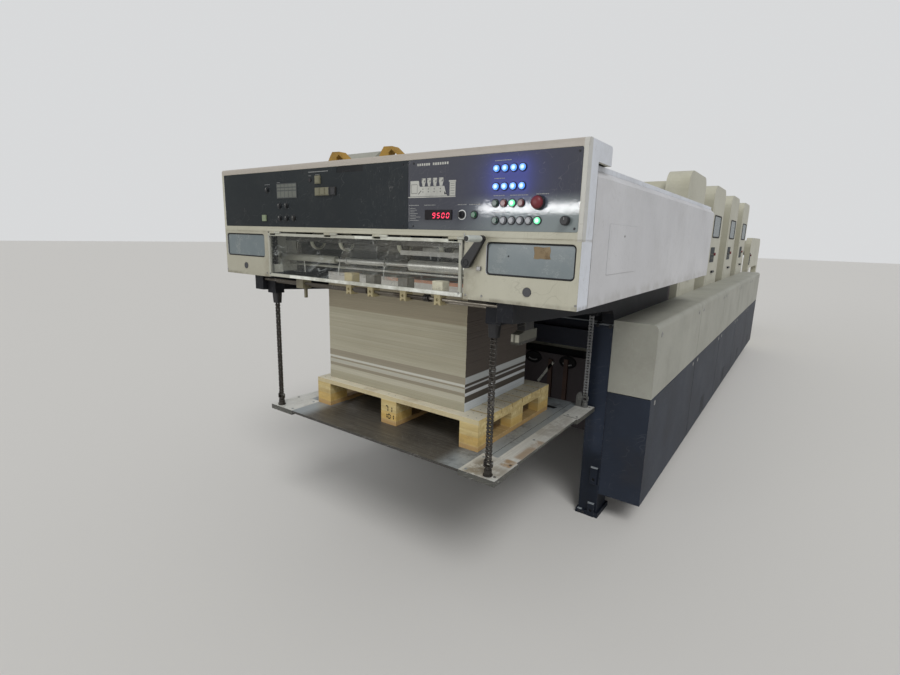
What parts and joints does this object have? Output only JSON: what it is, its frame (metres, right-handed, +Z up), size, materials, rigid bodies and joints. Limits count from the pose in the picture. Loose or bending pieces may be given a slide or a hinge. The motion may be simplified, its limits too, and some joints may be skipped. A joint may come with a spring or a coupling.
{
  "type": "sheet-fed offset printing press",
  "caption": "Sheet-fed offset printing press: pile delivery with a chain hoist and control console, printing towers in line, and a sheet feeder.",
  "frame": {"origin": "middle of the press's footprint box, at floor level", "axes": "+X across the press to the operator's side, +Y along it from the delivery to the feeder, +Z up"},
  "size_m": [2, 10.14, 2.15],
  "materials": {
    "navy_casting": "satin dark navy paint, worn at edges",
    "cream_panel": "semi-gloss cream enamel, yellowed",
    "grey_cover": "semi-gloss light grey enamel",
    "warm_grey_cover": "satin warm grey enamel",
    "slate_panel": "matt slate panel",
    "button_caps": "coloured caps in dark bezels",
    "display_window": "dark red display window",
    "beige_modules": "beige and black switch modules",
    "stop_red": "glossy red",
    "black_plastic": "satin black",
    "slate_acrylic": "tinted acrylic, lightly scratched",
    "clear_guard": "clear acrylic, lightly scratched",
    "black_iron": "black enamelled casting",
    "pale_grip": "pale grey moulded grip",
    "bright_steel": "ground steel",
    "cream_casting": "cream enamel, oily",
    "yellow_clamp": "yellow paint, worn",
    "board_steel": "worn dark steel plate",
    "end_steel": "worn grey steel plate",
    "chain_steel": "oiled dark steel",
    "pale_pine": "rough sawn pale pine",
    "paper": "edges of stacked printing sheets",
    "tread_plate": "worn tread plate"
  },
  "bodies": {
    "press": {"side_frames": "navy_casting", "column_feet": "navy_casting", "cross_beams": "navy_casting", "chain_guides": "navy_casting", "limit_switch": "warm_grey_cover", "console_housing": "cream_panel", "console_panels": "slate_panel", "push_buttons": "button_caps", "speed_display": "display_window", "panel_modules": "beige_modules", "cheek_panels": "cream_panel", "cheek_windows": "slate_acrylic", "hole_plugs": "black_plastic", "guard_rail": "cream_panel", "crank_boss": "bright_steel", "jogger_shafts": "bright_steel", "jogger_clevises": "cream_casting", "guide_tubes": "bright_steel", "deflectors": "clear_guard", "side_covers": "grey_cover", "hood_roof": "cream_panel", "roof_cowl": "warm_grey_cover", "lifting_clamps": "yellow_clamp", "lower_side_covers": "navy_casting", "upper_side_covers": "warm_grey_cover", "chain_housing": "navy_casting", "unit_beds": "navy_casting", "unit_towers": "cream_panel", "ink_fountains": "warm_grey_cover", "roller_guards": "grey_cover", "footboards": "tread_plate", "feeder_frame": "cream_panel", "feeder_head": "bright_steel", "feed_board": "tread_plate", "feeder_board": "board_steel"},
    "hoist": {"pile_board": "board_steel", "board_ends": "end_steel", "chain_sockets": "chain_steel", "hoist_chains": "chain_steel", "pallet": "pale_pine", "paper_pile": "paper"},
    "guard": {"guard_frame": "cream_panel", "guard_pane": "clear_guard"},
    "crank": {"crank_arm": "black_iron", "crank_grip": "pale_grip"},
    "wheels": {"sheet_wheels": "bright_steel"},
    "stop_button": {"stop_button": "stop_red"},
    "speed_knob": {"speed_knob": "black_plastic"},
    "key_selector": {"key_selector": "black_plastic"}
  },
  "joints": [
    {"name": "hoist_lift", "type": "slide", "parent": "press", "child": "hoist", "axis": [0, 0, 1], "range_m": [-0.62, 0]},
    {"name": "guard_swing", "type": "hinge", "parent": "press", "child": "guard", "pos_m": [0, -4.958, 1.6], "axis": [-1, 0, 0], "range_deg": [0, 125]},
    {"name": "crank_turn", "type": "hinge", "parent": "press", "child": "crank", "pos_m": [0.585, -4.97, 1.515], "axis": [0, -1, 0], "continuous": true},
    {"name": "wheels_turn", "type": "hinge", "parent": "press", "child": "wheels", "pos_m": [0, -4.7, 1.562], "axis": [1, 0, 0], "continuous": true},
    {"name": "stop_press", "type": "slide", "parent": "press", "child": "stop_button", "axis": [0, 1, 0], "range_m": [0, 0.004], "stiffness_N_per_m": 2000},
    {"name": "speed_turn", "type": "hinge", "parent": "press", "child": "speed_knob", "pos_m": [0.943, -4.96, 1.671], "axis": [0, 1, 0], "range_deg": [-135, 135]},
    {"name": "key_turn", "type": "hinge", "parent": "press", "child": "key_selector", "pos_m": [0.544, -4.96, 1.69], "axis": [0, 1, 0], "range_deg": [0, 90]}
  ]
}
